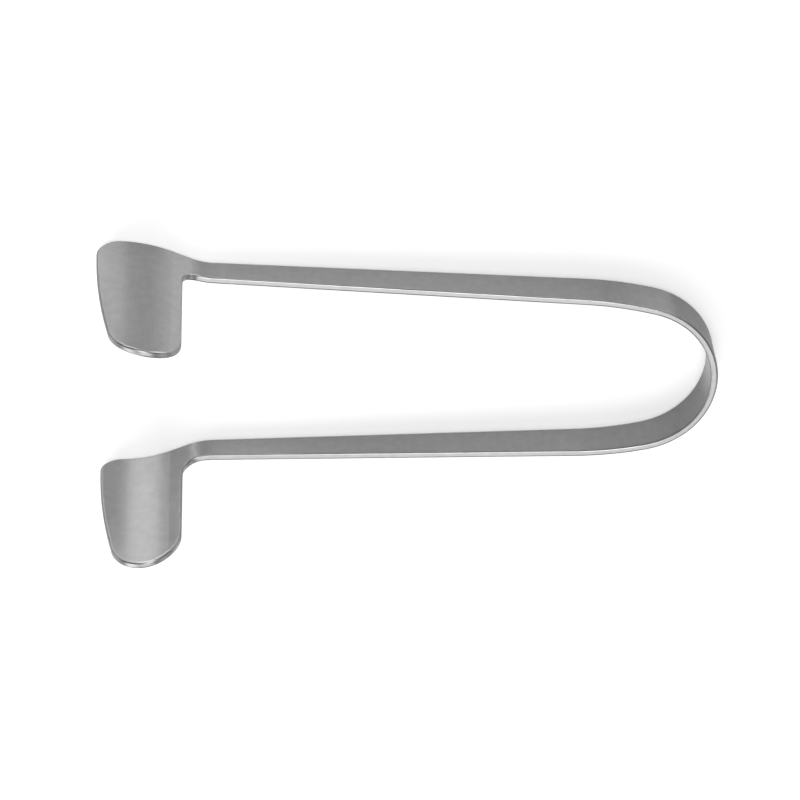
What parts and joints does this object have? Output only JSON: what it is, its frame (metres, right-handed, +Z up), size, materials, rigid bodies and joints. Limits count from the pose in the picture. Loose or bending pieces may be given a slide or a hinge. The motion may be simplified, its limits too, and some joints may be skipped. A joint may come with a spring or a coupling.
{
  "type": "nasal speculum",
  "caption": "One-piece spring steel nasal speculum: a bow with two springy arms that end in upright scooped blades with rounded tips.",
  "frame": {"origin": "middle of the overall length and spread, on the plane that the strip's straight edge lies on", "axes": "+X from the bow towards the blades, +Z up along the blades, and the two arms mirror each other about the XZ plane"},
  "size_m": [0.11, 0.0476, 0.0334],
  "materials": {
    "satin_steel": "satin polished stainless steel"
  },
  "bodies": {
    "root": {"speculum": "satin_steel"}
  },
  "joints": []
}
